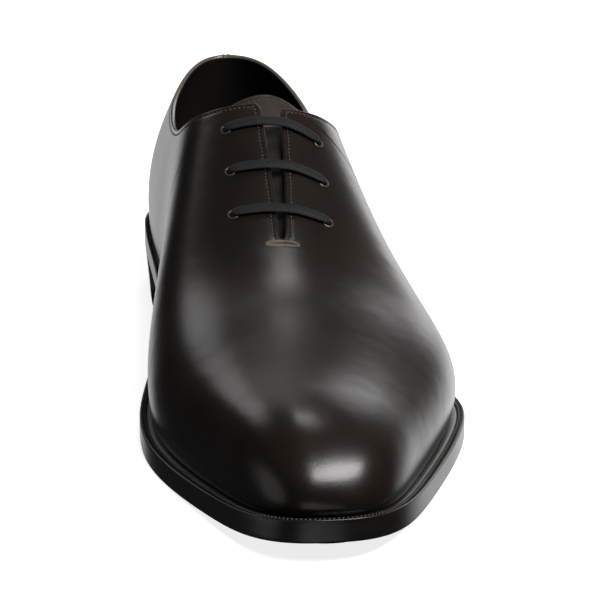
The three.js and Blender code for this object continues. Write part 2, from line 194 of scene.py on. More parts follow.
last_length = 295.5 * MM
ball_width = 97 * MM
instep_height = 80 * MM
toe_spring = 6.8 * MM
toe_plan = {"length": 72.4 * MM, "power": 2.6}
toe_crest = {"length": 36 * MM, "power": 2.2}
heel_plan = {"length": 34 * MM, "power": 2.3}
heel_curve = {"out": 5 * MM, "lean": 3.5 * MM, "fade": 90 * MM}
ankle_taper = 0.8
toe_swell = {"out": 1.6 * MM, "height": 6 * MM}
upper_wall = 2 * MM
back_height = 57 * MM
lateral_drop = 5.5 * MM
throat = {"end": 0.616, "half_top": 3 * MM, "half_end": 0.9 * MM, "round": 0.006, "corner": 0.05}
facing_corner = {"start": 0.45, "radius": 8 * MM}
sole_thickness = 4.6 * MM
welt_thickness = 2.3 * MM
welt_reach = {"heel": 1.8 * MM, "waist": 2.4 * MM, "fore": 4 * MM}
heel_lift = 19.2 * MM
heel_length = 60 * MM
seat_past_heel = 6 * MM
tread = {"start": 0.63, "end": 0.75}
lace_rows = {"first": 0.4685, "pitch": 16.2 * MM, "count": 3, "half_spacing": 15.4 * MM, "skew": 3 * MM}
lace_hole = 1.75 * MM
gap = 0.3 * MM
MEDIAL, LATERAL = -1, 1

SECTION_COLUMNS = (
    "medial", "lateral", "crest", "ridge", "swing",
    "medial_full", "lateral_full", "medial_bulge", "lateral_bulge", "medial_pinch", "lateral_pinch",
)
SECTIONS = {
    0.00: (0.288, 0.310, 1.225, 0.000, 0.000, 0.09, 0.09, 0.028, 0.019, 0.130, 0.109),
    0.12: (0.316, 0.318, 1.225, 0.000, 0.000, 0.07, 0.08, 0.030, 0.019, 0.138, 0.104),
    0.28: (0.316, 0.320, 1.163, 0.008, 0.000, 0.10, 0.06, 0.026, 0.026, 0.090, 0.045),
    0.42: (0.314, 0.374, 1.000, 0.033, 0.000, 0.16, -0.02, 0.022, 0.031, 0.011, 0.000),
    0.55: (0.378, 0.486, 0.797, 0.031, 0.001, 0.14, -0.08, 0.031, 0.046, 0.000, 0.000),
    0.65: (0.412, 0.550, 0.605, 0.010, 0.003, 0.06, -0.10, 0.040, 0.055, 0.000, 0.000),
    0.72: (0.403, 0.504, 0.518, -0.010, 0.006, 0.05, -0.03, 0.040, 0.051, 0.000, 0.000),
    0.80: (0.348, 0.407, 0.434, -0.033, 0.013, 0.06, 0.03, 0.036, 0.040, 0.000, 0.000),
    0.88: (0.290, 0.325, 0.369, -0.060, 0.020, 0.08, 0.07, 0.030, 0.030, 0.000, 0.000),
    1.00: (0.263, 0.256, 0.314, -0.088, 0.028, 0.11, 0.09, 0.020, 0.020, 0.000, 0.000),
}
TOPLINE = {
    0.00: 1.00, 0.06: 0.965, 0.14: 0.88, 0.22: 0.835, 0.30: 0.88,
    0.36: 1.01, 0.41: 1.215, 0.46: 1.49, 0.50: 1.80,
}
REACH = {
    0.00: welt_reach["heel"], 0.22: welt_reach["heel"], 0.42: welt_reach["waist"],
    0.60: welt_reach["fore"], 0.80: welt_reach["fore"], 1.00: welt_reach["fore"],
}


def clamp(value, low=0.0, high=1.0):
    return min(high, max(low, value))


def smooth_step(value):
    t = clamp(value)
    return t * t * t * (t * (6 * t - 15) + 10)


def mix(a, b, t):
    return a + (b - a) * t


def spread(count, start=0.0, end=1.0):
    """Evenly spaced values, both ends included."""
    return [mix(start, end, i / count) for i in range(count + 1)]


def spline(table):
    """Natural cubic spline through a table of places and values, held level past both ends."""
    xs, ys = list(table), list(table.values())
    last = len(xs) - 1
    second = [0.0] * (last + 1)
    carry = [0.0] * (last + 1)
    for i in range(1, last):
        before, after = xs[i] - xs[i - 1], xs[i + 1] - xs[i]
        pivot = 2 * (before + after) - before * carry[i - 1]
        slope_change = (ys[i + 1] - ys[i]) / after - (ys[i] - ys[i - 1]) / before
        carry[i] = after / pivot
        second[i] = (6 * slope_change - before * second[i - 1]) / pivot
    for i in range(last - 1, 0, -1):
        second[i] -= carry[i] * second[i + 1]

    def curve(value):
        x = clamp(value, xs[0], xs[last])
        k = 0
        while k < last - 1 and x > xs[k + 1]:
            k += 1
        h = xs[k + 1] - xs[k]
        a = (xs[k + 1] - x) / h
        b = 1 - a
        bend = (a**3 - a) * second[k] + (b**3 - b) * second[k + 1]
        return a * ys[k] + b * ys[k + 1] + bend * h * h / 6

    return curve


section_curves = {
    column: spline({share: row[k] for share, row in SECTIONS.items()})
    for k, column in enumerate(SECTION_COLUMNS)
}
topline = spline(TOPLINE)
welting = spline(REACH)
topline_end = max(TOPLINE)


@lru_cache(maxsize=None)
def section(share):
    return {column: curve(share) for column, curve in section_curves.items()}


def closing(distance, length, power, grow):
    """Rounded closing of the last towards its end, 0 at the end and 1 from the length on."""
    q = clamp(1 - distance / (length + grow))
    return (1 - q**power) ** (1 / power)


def plan_closing(from_heel, from_toe, grow, heel_longer=1):
    toe = closing(from_toe, toe_plan["length"], toe_plan["power"], grow)
    return toe * closing(from_heel, heel_plan["length"] * heel_longer, heel_plan["power"], grow)


waist_start = heel_length + seat_past_heel
tread_start, tread_end = tread["start"] * last_length, tread["end"] * last_length
spring_power = 2.2


def sole_underside(along):
    lift = heel_lift * (1 - smooth_step((along - waist_start) / (tread_start - waist_start)))
    rise = max(0, (along - tread_end) / (last_length - tread_end))
    return lift + toe_spring * rise**spring_power


def welt_top(along):
    return sole_underside(along) + sole_thickness + gap + welt_thickness


def feather(along):
    return welt_top(along) + gap


heel_middle = heel_length / 2 - upper_wall - welt_reach["heel"]
bulge_peak = 2.6
heel_curve_power = 0.8


def last_point(share, side, turn, grow):
    """Point of the last grown outwards, from the feather line at turn 0 up to the crest at 1."""
    length = last_length + 2 * grow
    from_heel = share * length
    from_toe = length - from_heel
    row = section(share)
    name = "medial" if side == MEDIAL else "lateral"
    c, s = math.cos(turn * math.pi / 2), math.sin(turn * math.pi / 2)
    height = instep_height * row["crest"] + grow
    height *= closing(from_toe, toe_crest["length"], toe_crest["power"], grow)
    up = height * s * (1 + row[name + "_full"] * c * c)
    level = up / back_height
    plan = plan_closing(from_heel, from_toe, grow, 1 + ankle_taper * level * level)
    width = (ball_width * row[name] + grow) * plan * c * (1 + row[name + "_full"] * s * s)
    bulge = ball_width * row[name + "_bulge"] * plan * bulge_peak * s * c * c
    pinch = ball_width * row[name + "_pinch"] * level * level * plan * c
    middle = ball_width * (row["ridge"] * plan * (1 - c) + row["swing"])
    fade = clamp(1 - from_heel / heel_curve["fade"]) ** 2
    swell = math.sin(math.pi * min(level, 1) ** heel_curve_power)
    back = fade * (heel_curve["out"] * swell - heel_curve["lean"] * level * level)
    risen = up / toe_swell["height"]
    front = toe_swell["out"] * risen * math.exp(1 - risen) * clamp(1 - from_toe / toe_crest["length"])
    along = from_heel - grow
    x = side * (width + bulge - pinch) + middle
    return Vector((x, heel_middle - along + back - front, feather(along) + up))


def turn_where(measure):
    """Smallest turn from 0 to 1 at which a rising measure reaches zero."""
    low, high = 0.0, 1.0
    for _ in range(30):
        middle = (low + high) / 2
        if measure(middle) < 0:
            low = middle
        else:
            high = middle
    return (low + high) / 2


def turn_across(share, side, distance, grow):
    """Turn at a distance from the crest line, measured across the shoe."""
    crest = last_point(share, side, 1, grow).x
    return turn_where(lambda turn: distance - side * (last_point(share, side, turn, grow).x - crest))


def topline_height(share, side):
    t = clamp(share / lace_rows["first"])
    skew = side * lace_rows["skew"] / 2 / last_length * t
    drop = lateral_drop if side == LATERAL else 0
    return back_height * topline(share - skew) - drop * math.sin(math.pi * t) ** 2


def slit_half(share):
    """Half width of the slit between the facings, which flares in an arc at their rounded tops."""
    t = (share - lace_rows["first"]) / (throat["end"] - lace_rows["first"])
    closed = clamp((throat["end"] - share) / throat["round"])
    back = clamp((facing_corner["start"] - share) * last_length / facing_corner["radius"])
    flare = facing_corner["radius"] * (1 - math.sqrt(1 - back * back))
    half = mix(throat["half_top"], throat["half_end"], clamp(t))
    return half * math.sqrt(closed * (2 - closed)) + flare


facing_start = 0.34
past_crest = 2


@lru_cache(maxsize=None)
def edge_turn(share, side):
    """Turn of the upper's free edge: the collar, the rounded facing corner and the slit."""
    if share >= throat["end"]:
        return 1.0
    slit = turn_across(share, side, slit_half(share), upper_wall) if share > facing_start else 1.0
    if share > topline_end:
        return slit
    height = topline_height(share, side)
    crest = last_point(share, side, 1, upper_wall).z
    foot = last_point(share, side, 0, upper_wall).z
    over = height / (crest - foot) - 1
    if over > 0:
        rim = 1 + past_crest * over
    else:
        rim = turn_where(lambda turn: last_point(share, side, turn, upper_wall).z - foot - height)
    if share <= facing_start:
        return rim
    apart = abs(rim - slit) / throat["corner"]
    return min(rim, slit) - throat["corner"] * math.log(1 + math.exp(-apart))


weld = 0.002 * MM
turn_step = 0.01
share_step = 0.002
widest_band = 10 * MM
steepest = 0.25


@lru_cache(maxsize=None)
def edge_pace(share, side):
    """Step in turn for each metre down from the free edge, the same for both sides at the back seam."""
    if share == 0:
        side = MEDIAL
    turn = edge_turn(share, side)
    ahead, behind = (
        last_point(clamp(s), side, edge_turn(clamp(s), side), upper_wall)
        for s in (share + share_step, share - share_step)
    )
    edge = (ahead - behind).normalized()
    down = last_point(share, side, turn - turn_step, upper_wall)
    down -= last_point(share, side, turn, upper_wall)
    square = (down - edge * down.dot(edge)).length
    return min(turn_step / max(square, steepest * down.length, weld), turn / widest_band)


def below_edge(share, side, distance, part=1.0):
    """Turn at a distance down from the free edge, or at a part of the way up to there."""
    return (edge_turn(share, side) - edge_pace(share, side) * distance) * part


crowded = 0.3


def stations(count, extra=()):
    """Stations along the shoe, closer towards heel and toe, with extra ones in place of near ones."""
    too_near = crowded / count
    regular = [(1 - math.cos(math.pi * t)) / 2 for t in spread(count)]
    return sorted([*extra, *(s for s in regular if all(abs(s - e) > too_near for e in extra))])


def add_grid(bm, rows, material=0, run=None):
    """Grid of points: create_grid makes it, each vertex is moved to its place, run gives the UV map."""
    up, across = len(rows) - 1, len(rows[0]) - 1
    made = bmesh.ops.create_grid(bm, x_segments=across, y_segments=up, size=1)["verts"]
    place = {v: (round((v.co.y + 1) / 2 * up), round((v.co.x + 1) / 2 * across)) for v in made}
    for vert, (i, j) in place.items():
        vert.co = rows[i][j]
    faces = {face for vert in made for face in vert.link_faces}
    uv = bm.loops.layers.uv.verify() if run else None
    for face in faces:
        face.material_index = material
        for loop in face.loops if run else ():
            loop[uv].uv = run(*place[loop.vert])
    return place, faces


sharp_angle = math.radians(50)


def add_piece(name, bm, materials, replaced=()):
    """Closes a mesh's seams, turns its faces outwards and adds it as a piece that rides on the shoe."""
    bmesh.ops.remove_doubles(bm, verts=bm.verts, dist=weld)
    bmesh.ops.recalc_face_normals(bm, faces=bm.faces)
    if bm.calc_volume(signed=True) < 0:
        bmesh.ops.reverse_faces(bm, faces=bm.faces)
    mesh = bpy.data.meshes.new(name)
    bm.to_mesh(mesh)
    bm.free()
    mesh.shade_smooth()
    mesh.set_sharp_from_angle(angle=sharp_angle)
    for material in materials:
        mesh.materials.append(material)
    thing = bpy.data.objects.new(name, mesh)
    bpy.context.scene.collection.objects.link(thing)
    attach(thing, "root")
    if replaced:
        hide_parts(*replaced)
    return thing


def new_finish(name, sockets):
    """Starts a material: its shader with the constant sockets set, and its Object coordinates."""
    material = bpy.data.materials.new(name)
    material.use_nodes = True
    tree = material.node_tree
    shader = tree.nodes["Principled BSDF"]
    for socket, value in sockets.items():
        shader.inputs[socket].default_value = value
    return material, tree, shader, add_node(tree, "TexCoord").outputs["Object"]


def blend_colours(tree, shader, factor, first, second):
    """Lays two colours over the piece by a pattern."""
    mixed = add_node(tree, "Mix", {0: factor, 6: linear(first), 7: linear(second)}, data_type="RGBA")
    tree.links.new(mixed.outputs[2], shader.inputs["Base Color"])


def add_relief(tree, shader, *layers):
    """Stacks bump layers, each a height output and its depth in metres."""
    normal = None
    for height, depth in layers:
        links = {"Height": height, "Distance": depth, "Strength": 1.0}
        if normal:
            links["Normal"] = normal
        normal = add_node(tree, "Bump", links).outputs["Normal"]
    tree.links.new(normal, shader.inputs["Normal"])


def box_calf(name, deep, warm, roughness):
    """Box calf: aniline dyed in soft patches and waxed, its grain tight and pebbled, a little slack."""
    patch, pebble, pore, ripple = 28 * MM, 0.75 * MM, 0.4 * MM, 9 * MM
    material, tree, shader, place = new_finish(name, {"Roughness": roughness, "IOR": 1.5})
    patches = add_node(tree, "TexNoise", {"Vector": place, "Scale": 1 / patch, "Detail": 3.0})
    links = {"Value": patches.outputs["Fac"], "From Min": 0.35, "From Max": 0.65}
    contrast = add_node(tree, "MapRange", links)
    blend_colours(tree, shader, contrast.outputs["Result"], deep, warm)
    pebbles = add_node(tree, "TexVoronoi", {"Vector": place, "Scale": 1 / pebble}, feature="SMOOTH_F1")
    pores = add_node(tree, "TexNoise", {"Vector": place, "Scale": 1 / pore, "Detail": 2.0})
    slack = add_node(tree, "TexNoise", {"Vector": place, "Scale": 1 / ripple, "Detail": 1.0})
    add_relief(
        tree, shader,
        (slack.outputs["Fac"], 0.10 * MM), (pebbles.outputs["Distance"], 0.020 * MM),
        (pores.outputs["Fac"], 0.020 * MM),
    )
    return material


def lining_leather(name):
    """Lining kid, drum dyed black: matt and smooth, so it swallows the light inside the shoe."""
    patch, pore = 14 * MM, 0.6 * MM
    sockets = {"Roughness": 0.62, "IOR": 1.45, "Specular IOR Level": 0.25}
    material, tree, shader, place = new_finish(name, sockets)
    patches = add_node(tree, "TexNoise", {"Vector": place, "Scale": 1 / patch, "Detail": 4.0})
    blend_colours(tree, shader, patches.outputs["Fac"], "0D0B0A", "171412")
    pores = add_node(tree, "TexNoise", {"Vector": place, "Scale": 1 / pore, "Detail": 3.0})
    add_relief(tree, shader, (pores.outputs["Fac"], 0.03 * MM))
    return material


def bead_painted_highlight(name, deep, pale):
    """Beaded edge: the calf turned over, waxed and burnished. Its paler colour is partly the edge's own
    tone and partly painted highlight for the thin light line along it.
    """
    fibre = 0.8 * MM
    sockets = {"Roughness": 0.3, "IOR": 1.5, "Coat Weight": 0.6, "Coat Roughness": 0.25}
    material, tree, shader, place = new_finish(name, sockets)
    fibres = add_node(tree, "TexNoise", {"Vector": place, "Scale": 1 / fibre, "Detail": 3.0})
    blend_colours(tree, shader, fibres.outputs["Fac"], deep, pale)
    add_relief(tree, shader, (fibres.outputs["Fac"], 0.02 * MM))
    return material


calf = box_calf("box_calf", "15100C", "1F1712", 0.27)
lining = lining_leather("black_lining")
# The bead's colours are paler than the calf: partly the raw edge's own tone, partly painted highlight for
# the light line along the collar, the facing tops and the slit.
edge = bead_painted_highlight("bead_with_painted_highlight", "40362D", "665A4D")

stitch_inset = 2.0 * MM
stitch_groove = {"depth": 0.12 * MM, "half": 0.45 * MM}
bead = 0.8 * MM
slack_relief = {"depth": 0.07 * MM, "size": 30 * MM}
foot_fade, end_fade = 0.25, 0.04
outer_distances = [
    d * MM
    for d in (4.8, 3.8, 3.1, 2.7, 2.4, 2.2, 2.0, 1.8, 1.6, 1.3, 1.05, 0.8, 0.6, 0.4, 0.24, 0.1, 0.03, 0)
]
lining_distances = [d * MM for d in (0, 0.03, 0.1, 0.24, 0.4, 0.6, 0.8, 1.2, 2.5, 5.0)]
painted_highlight_rows = 3
side_rows = 44
lining_rows = 22

# Soft forms that wear and lasting leave on the vamp, in mm: place along and across, half sizes, height.
VAMP_FORMS = (
    (191, 0, 10, 13, 0.30),
    (206, 0, 8, 20, -0.12),
    (249, -7, 7, 10, -0.12),
)

corner_zone = (0.418, 0.456)
along_upper, along_corner, along_slit_end = 230, 60, 8
edge_points = 2400
corner_columns = spread(along_corner, *corner_zone)
slit_end_columns = spread(along_slit_end, throat["end"] - throat["round"], throat["end"])
upper_columns = stations(along_upper, [*corner_columns, *slit_end_columns])
edge_lines = {
    side: [
        last_point(share, side, edge_turn(share, side), upper_wall)
        for share in spread(edge_points, 0, throat["end"])
    ]
    for side in (MEDIAL, LATERAL)
}
edge_tree = KDTree(sum(map(len, edge_lines.values())))
for index, point in enumerate(point for line in edge_lines.values() for point in line):
    edge_tree.insert(point, index)
edge_tree.balance()


def rounded(distance):
    """Fall of the beaded edge at a distance from it."""
    left = clamp(1 - distance / bead)
    return bead * (1 - math.sqrt(1 - left * left))


def outer_skin(share, side, turn):
    """Point of the upper's grain side with its slack, its soft forms, its stitch groove and its bead."""
    point = last_point(share, side, turn, upper_wall)
    from_edge = edge_tree.find(point)[2]
    beside = (from_edge - stitch_inset) / stitch_groove["half"]
    groove = stitch_groove["depth"] * math.exp(-(beside**2))
    point = last_point(share, side, turn, upper_wall - groove - rounded(from_edge))
    rise = noise.noise(point / slack_relief["size"]) * slack_relief["depth"]
    for along, across, half_length, half_width, height in VAMP_FORMS:
        far = ((heel_middle - point.y) / MM - along) / half_length, (point.x / MM - across) / half_width
        rise += height * MM * math.exp(-far[0] ** 2 - far[1] ** 2)
    rise *= smooth_step(turn / foot_fade)
    rise *= smooth_step(share / end_fade) * smooth_step((1 - share) / end_fade)
    away = turn * math.pi / 2
    return point + Vector((side * math.cos(away), 0, math.sin(away))) * rise


def upper_skin(share, side):
    """One column of the upper: up its grain side, over its bead, down its lining, and shut below."""
    points = []
    for t in spread(side_rows)[:-1]:
        points.append(outer_skin(share, side, below_edge(share, side, outer_distances[0], t)))
    for d in outer_distances:
        points.append(outer_skin(share, side, below_edge(share, side, d)))
    for d in lining_distances:
        turn = below_edge(share, side, d)
        from_edge = edge_tree.find(last_point(share, side, turn, upper_wall))[2]
        points.append(last_point(share, side, turn, rounded(from_edge)))
    for t in spread(lining_rows)[1:]:
        points.append(last_point(share, side, below_edge(share, side, lining_distances[-1], 1 - t), 0))
    points.append(points[0])
    return points


def lace_share(row, side):
    """The outer side's holes lie a little nearer the toe than the inner side's."""
    return lace_rows["first"] + (row * lace_rows["pitch"] + side * lace_rows["skew"] / 2) / last_length


def surface_frame(share, side, distance, grow=upper_wall):
    """A point of the upper with the directions forward, inward to the crest and out of the surface."""
    turn = turn_across(share, side, distance, grow)
    centre = last_point(share, side, turn, grow)
    forward = last_point(share + turn_step, side, turn, grow)
    forward -= last_point(share - turn_step, side, turn, grow)
    inward = centre - last_point(share, side, turn - turn_step, grow)
    outward = forward.cross(inward) * -side
    return centre, forward.normalized(), inward.normalized(), outward.normalized()


def standing(centre, outward, forward):
    """Matrix that stands a shape on the surface, with its Y axis forward along the shoe."""
    across = forward.cross(outward).normalized()
    square = outward.cross(across).normalized()
    turned = Matrix((across, square, outward)).transposed().to_4x4()
    return Matrix.Translation(centre) @ turned


upper_mesh = bmesh.new()
open_columns = sum(share < throat["end"] for share in upper_columns)
edge_row = side_rows + len(outer_distances) - 1
inside_wall = set()
for side in (MEDIAL, LATERAL):
    rows = list(zip(*(upper_skin(share, side) for share in upper_columns)))
    place, faces = add_grid(upper_mesh, rows)
    for face in faces:
        i = min(place[vert][0] for vert in face.verts)
        j = min(place[vert][1] for vert in face.verts)
        if i == edge_row and j >= open_columns:
            inside_wall.add(face)
        # Rows past the bead strip take the black lining. The rows of the bead strip take the pale bead
        # finish, which is partly painted highlight.
        if i > edge_row + painted_highlight_rows:
            face.material_index = 2
        elif i > edge_row - painted_highlight_rows and j < open_columns:
            face.material_index = 1
bmesh.ops.delete(upper_mesh, geom=list(inside_wall), context="FACES")
upper = add_piece("whole_cut_upper", upper_mesh, (calf, edge, lining), ["upper"])

punch_sides, punch_depth = 32, 4 * upper_wall
punch_mesh = bmesh.new()
for row in range(lace_rows["count"]):
    for side in (MEDIAL, LATERAL):
        share = lace_share(row, side)
        centre, forward, inward, outward = surface_frame(share, side, lace_rows["half_spacing"])
        bmesh.ops.create_cone(
            punch_mesh, cap_ends=True, segments=punch_sides, radius1=lace_hole, radius2=lace_hole,
            depth=punch_depth, matrix=standing(centre, outward, forward),
        )
punch_data = bpy.data.meshes.new("hole_punch")
punch_mesh.to_mesh(punch_data)
punch_mesh.free()
punch = bpy.data.objects.new("hole_punch", punch_data)
bpy.context.scene.collection.objects.link(punch)
punched = upper.modifiers.new("punched_holes", "BOOLEAN")
punched.object = punch
punched.solver = "EXACT"
bpy.context.view_layer.update()
holed = bpy.data.meshes.new_from_object(upper.evaluated_get(bpy.context.evaluated_depsgraph_get()))
upper.modifiers.clear()
upper.data = holed
bpy.data.objects.remove(punch)

# Rims of the lace holes
# The calf is turned into each punched hole and pressed, which leaves a small rolled rim round it. The
# rims are coloured a little paler than the calf: painted highlight for the light crescents they catch.

rim_radius = 0.36 * MM
rim_flatness = 0.7
rim_sides, rim_rounds = 40, 12
rim_mesh = bmesh.new()
for row in range(lace_rows["count"]):
    for side in (MEDIAL, LATERAL):
        share = lace_share(row, side)
        centre, forward, inward, outward = surface_frame(share, side, lace_rows["half_spacing"])
        around = []
        for a in spread(rim_sides):
            out = Vector((math.cos(2 * math.pi * a), math.sin(2 * math.pi * a), 0))
            around.append([
                out * (lace_hole + rim_radius * math.cos(2 * math.pi * b))
                + Vector((0, 0, rim_radius * rim_flatness * math.sin(2 * math.pi * b)))
                for b in spread(rim_rounds)
            ])
        ring, _ = add_grid(rim_mesh, around)
        bmesh.ops.transform(rim_mesh, matrix=standing(centre, outward, forward), verts=list(ring))
# Rim colours paler than the calf: painted highlight on the rolled rims.
rim_painted_highlight = bead_painted_highlight("rims_painted_highlight", "2B241E", "4A4038")
add_piece("lace_hole_rims", rim_mesh, [rim_painted_highlight])

# Stitching of the upper
# One row of waxed thread follows the collar, the facing tops and both edges of the slit. Each stitch is
# a short bead that dips into its needle holes.

stitch_pitch = 1.6 * MM
stitch_length = 1.15 * MM
stitch_radius = 0.24 * MM
stitch_sunk = 0.12 * MM
stitch_samples = 900
corner_trim = 0.97


def waxed_thread(name, deep, pale):
    """Waxed polyester thread: twisted, with a dull sheen."""
    strand = 0.35 * MM
    material, tree, shader, place = new_finish(name, {"Roughness": 0.45, "IOR": 1.5})
    strands = add_node(tree, "TexNoise", {"Vector": place, "Scale": 1 / strand, "Detail": 2.0})
    blend_colours(tree, shader, strands.outputs["Fac"], deep, pale)
    add_relief(tree, shader, (strands.outputs["Fac"], 0.04 * MM))
    return material


def walk(points, pitch):
    """Places along a line of points at an even pitch, each with its direction and its point number."""
    lengths = [0.0]
    for a, b in zip(points, points[1:]):
        lengths.append(lengths[-1] + (b - a).length)
    count = max(1, int(lengths[-1] / pitch))
    k = 0
    for i in range(count):
        target = (i + 0.5) * lengths[-1] / count
        while lengths[k + 1] < target:
            k += 1
        t = (target - lengths[k]) / (lengths[k + 1] - lengths[k])
        yield points[k].lerp(points[k + 1], t), (points[k + 1] - points[k]).normalized(), k + t


def add_stitches(bm, points, normals, pitch, length, radius, skew=0.0):
    """Beads of thread along a line on a surface, each turned out of the line by the skew."""
    for place, ahead, k in walk(points, pitch):
        normal = normals[min(len(normals) - 1, round(k))]
        turned = standing(place, normal, Matrix.Rotation(skew, 3, normal) @ ahead)
        scale = Matrix.Diagonal((radius, length / 2, radius, 1))
        bmesh.ops.create_uvsphere(bm, u_segments=8, v_segments=6, radius=1, matrix=turned @ scale)


def skin_normal(share, side, turn, grow):
    """Direction out of the last's surface."""
    forward = last_point(clamp(share + share_step), side, turn, grow)
    forward -= last_point(clamp(share - share_step), side, turn, grow)
    inward = last_point(share, side, turn + turn_step, grow)
    inward -= last_point(share, side, turn - turn_step, grow)
    return (forward.cross(inward) * -side).normalized()


thread = waxed_thread("upper_thread", "1E1813", "54493D")
stitch_mesh = bmesh.new()
stitch_end = throat["end"] - share_step
for side in (MEDIAL, LATERAL):
    line, normals = [], []
    for share in spread(stitch_samples, share_step, stitch_end):
        turn, next_share = edge_turn(share, side), share + share_step / 2
        normal = skin_normal(share, side, turn, upper_wall)
        here = last_point(share, side, turn, upper_wall)
        ahead = last_point(next_share, side, edge_turn(next_share, side), upper_wall)
        inward = (ahead - here).cross(normal).normalized() * -side
        place = here + inward * stitch_inset
        if edge_tree.find(place)[2] > corner_trim * stitch_inset:
            line.append(place - normal * stitch_sunk)
            normals.append(normal)
    add_stitches(stitch_mesh, line, normals, stitch_pitch, stitch_length, stitch_radius)
add_piece("upper_stitching", stitch_mesh, [thread])

# Bar tack
# A tight oval of thread across the end of the slit, which keeps the calf from tearing. Crossed stitches
# thicken the half on the shoe's inner side.

tack_past_slit = 0.008
tack = {"share": throat["end"] + tack_past_slit, "half_length": 5.2 * MM, "half_width": 1.0 * MM}
tack_samples = 72
ring_stitches = {"pitch": 0.62 * MM, "length": 1.1 * MM, "radius": 0.42 * MM, "skew": math.radians(35)}
cross_stitches = {"pitch": 0.55 * MM, "length": 1.7 * MM, "radius": 0.30 * MM, "skew": math.radians(90)}
tack_mesh = bmesh.new()
line, normals = [], []
for a in spread(tack_samples):
    across = tack["half_length"] * math.cos(2 * math.pi * a)
    forward = tack["half_width"] * math.sin(2 * math.pi * a)
    lean = across * lace_rows["skew"] / (2 * lace_rows["half_spacing"])
    share = tack["share"] + (forward + lean) / last_length
    side = LATERAL if across >= 0 else MEDIAL
    turn = turn_across(share, side, abs(across), upper_wall)
    normals.append(skin_normal(share, side, min(turn, 1 - turn_step), upper_wall))
    line.append(outer_skin(share, side, turn))
add_stitches(tack_mesh, line, normals, **ring_stitches)
inner_half = slice(tack_samples // 4, 3 * tack_samples // 4 + 1)
add_stitches(tack_mesh, line[inner_half], normals[inner_half], **cross_stitches)
add_piece("bar_tack", tack_mesh, [waxed_thread("tack_thread", "2A231C", "7A6E60")])

# Tongue
# A separate calf tongue, a little browner than the whole cut, stitched along its top edge. It is sewn
# to the lining at its lower end, and stands flatter than the last where it is free.

tongue = {"top": 0.399, "bottom": 0.668, "half_top": 23 * MM, "half_bottom": 17 * MM, "pocket": 1.8 * MM}
tongue_arc = {"fall": 0.03, "power": 2.6}
tongue_flat = {"depth": 4.3 * MM, "from": 0.5, "to": 0.42}
tongue_wall = 2 * MM
tongue_bevel = 0.5 * MM
tongue_rows, tongue_columns = 48, 80
tongue_seam = {"inset": 2.4 * MM, "span": 0.27 * last_length, "half": 0.93, "samples": 80}
tongue_facing = Vector((0, -0.35, 0.94))


def tongue_share(v, t):
    """Share along the shoe, from the tongue's arched top edge at t 0 to its lower end at 1."""
    arc = (1 - abs(v) ** tongue_arc["power"]) ** (1 / tongue_arc["power"])
    return mix(tongue["top"] + tongue_arc["fall"] * (1 - arc), tongue["bottom"], t)


def tongue_point(v, t, depth):
    """Point of the tongue, v from -1 at its inner edge to 1 at its outer edge."""
    side = MEDIAL if v < 0 else LATERAL
    share = tongue_share(v, t)
    under = smooth_step((tongue["bottom"] - share) / (tongue["bottom"] - throat["end"]))
    free = smooth_step((tongue_flat["from"] - share) / (tongue_flat["from"] - tongue_flat["to"]))
    flat = tongue_flat["depth"] * free * (1 - v * v)
    grow = -mix(gap, tongue["pocket"], under) - flat - depth
    aside = abs(v) * mix(tongue["half_top"], tongue["half_bottom"], t)
    return last_point(share, side, turn_across(share, side, aside, grow), grow)


tongue_calf = box_calf("tongue_calf", "1D1511", "2B2019", 0.42)
# Past a share of 0.446 the tongue takes the black matt lining finish: partly the tongue's own dark
# colour, partly painted shade for where it lies in shadow under the slit.
tongue_dark_and_painted_shade = lining_leather("tongue_dark_and_painted_shade")
painted_shade_share = 0.446
tongue_mesh = bmesh.new()
across = [math.sin(math.pi * (t - 0.5)) for t in spread(tongue_rows)]
top = [[tongue_point(v, t, 0) for t in spread(tongue_columns)] for v in across]
place, faces = add_grid(tongue_mesh, top)
for face in faces:
    i, j = (min(place[vert][k] for vert in face.verts) for k in (0, 1))
    # Faces past that share get the black finish, which is partly painted shade.
    face.material_index = int(tongue_share(across[i], j / tongue_columns) > painted_shade_share)
bmesh.ops.recalc_face_normals(tongue_mesh, faces=tongue_mesh.faces)
if sum(face.normal.z * face.calc_area() for face in tongue_mesh.faces) < 0:
    bmesh.ops.reverse_faces(tongue_mesh, faces=tongue_mesh.faces)
bmesh.ops.solidify(tongue_mesh, geom=tongue_mesh.faces, thickness=tongue_wall)
rim_edges = [e for e in tongue_mesh.edges if e.calc_face_angle(0) > sharp_angle]
bmesh.ops.bevel(
    tongue_mesh, geom=rim_edges, offset=tongue_bevel, segments=3, profile=0.5,
    affect="EDGES", material=-1,
)
add_piece("tongue_blade", tongue_mesh, [tongue_calf, tongue_dark_and_painted_shade], ["tongue"])

tongue_stitches = bmesh.new()
down = tongue_seam["inset"] / tongue_seam["span"]
seam_places = spread(tongue_seam["samples"], -tongue_seam["half"], tongue_seam["half"])
line = [tongue_point(v, down, 0) for v in seam_places]
normals = [tongue_facing] * len(line)
add_stitches(tongue_stitches, line, normals, stitch_pitch, stitch_length, stitch_radius)
add_piece("tongue_stitching", tongue_stitches, [thread])

# Lace
# A flat waxed cotton lace, woven in a herringbone, in straight bars. It runs up through a hole, over the
# facings and down, and along under the facings to the next hole. Both ends stop at the top holes.

